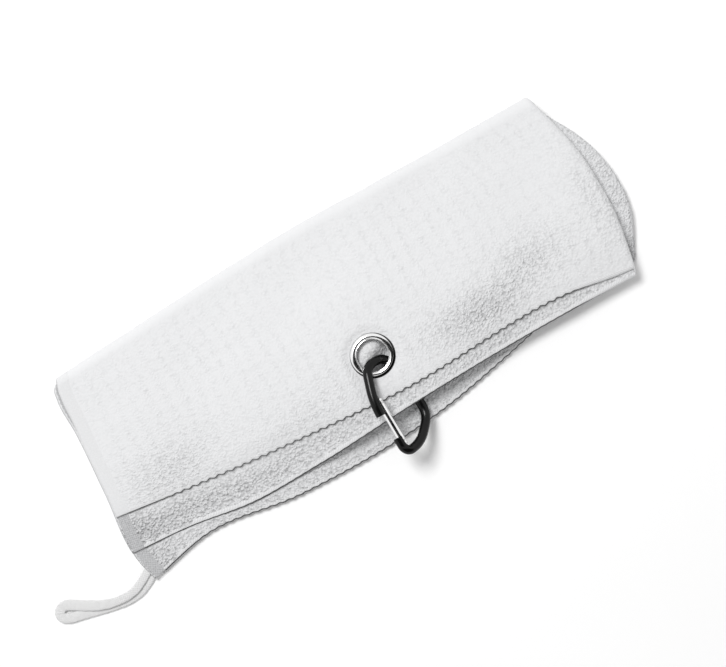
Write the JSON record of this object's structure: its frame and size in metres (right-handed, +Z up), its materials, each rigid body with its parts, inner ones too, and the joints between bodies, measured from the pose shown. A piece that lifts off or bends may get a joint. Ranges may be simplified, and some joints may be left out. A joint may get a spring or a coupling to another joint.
{
  "type": "golf towel",
  "caption": "White terry golf towel folded for display, with a metal eyelet, a black snap hook that swivels in it and a corner hanging loop.",
  "frame": {"origin": "centre of the folded towel's underside, on the surface it lies on", "axes": "+X along the folded towel from the hanging loop's end to the crosswise folds, +Y towards the lengthwise fold at the back, +Z up"},
  "size_m": [0.3732, 0.1327, 0.027],
  "materials": {
    "terry_cloth": "white cotton terry with a fine looped pile",
    "binding_tape": "smooth white woven tape",
    "edge_thread": "white overlock thread",
    "loop_tape": "soft off-white woven tape",
    "nickel_plate": "bright nickel plate",
    "black_anodised": "satin black anodised",
    "polished_gate": "polished bare metal",
    "steel_pin": "plain steel",
    "spring_wire": "spring wire"
  },
  "bodies": {
    "towel": {"towel_cloth": "terry_cloth", "end_binding_outer": "binding_tape", "end_binding_inner": "binding_tape", "overlock_top_edge": "edge_thread", "overlock_second_edge": "edge_thread", "overlock_third_edge": "edge_thread", "overlock_bottom_edge": "edge_thread", "loop_tack": "edge_thread", "hanging_loop": "loop_tape", "eyelet_flange": "nickel_plate", "eyelet_washer": "nickel_plate"},
    "snap_hook": {"hook_frame": "black_anodised", "gate_hinge_pin": "steel_pin"},
    "gate": {"hook_gate": "polished_gate", "gate_nose_pin": "steel_pin", "gate_plunger": "steel_pin", "gate_spring": "spring_wire"}
  },
  "joints": [
    {"name": "hook_swivel", "type": "hinge", "parent": "towel", "child": "snap_hook", "pos_m": [0, -0.0175, 0.0155], "axis": [0, 0, 1], "range_deg": [-15, 30]},
    {"name": "gate_hinge", "type": "hinge", "parent": "snap_hook", "child": "gate", "pos_m": [-0.00953, -0.04113, 0.0222], "axis": [0.6157, -0.0138, 0.7879], "range_deg": [0, 25], "stiffness_Nm_per_rad": 0.03, "springref_deg": -20.05}
  ]
}
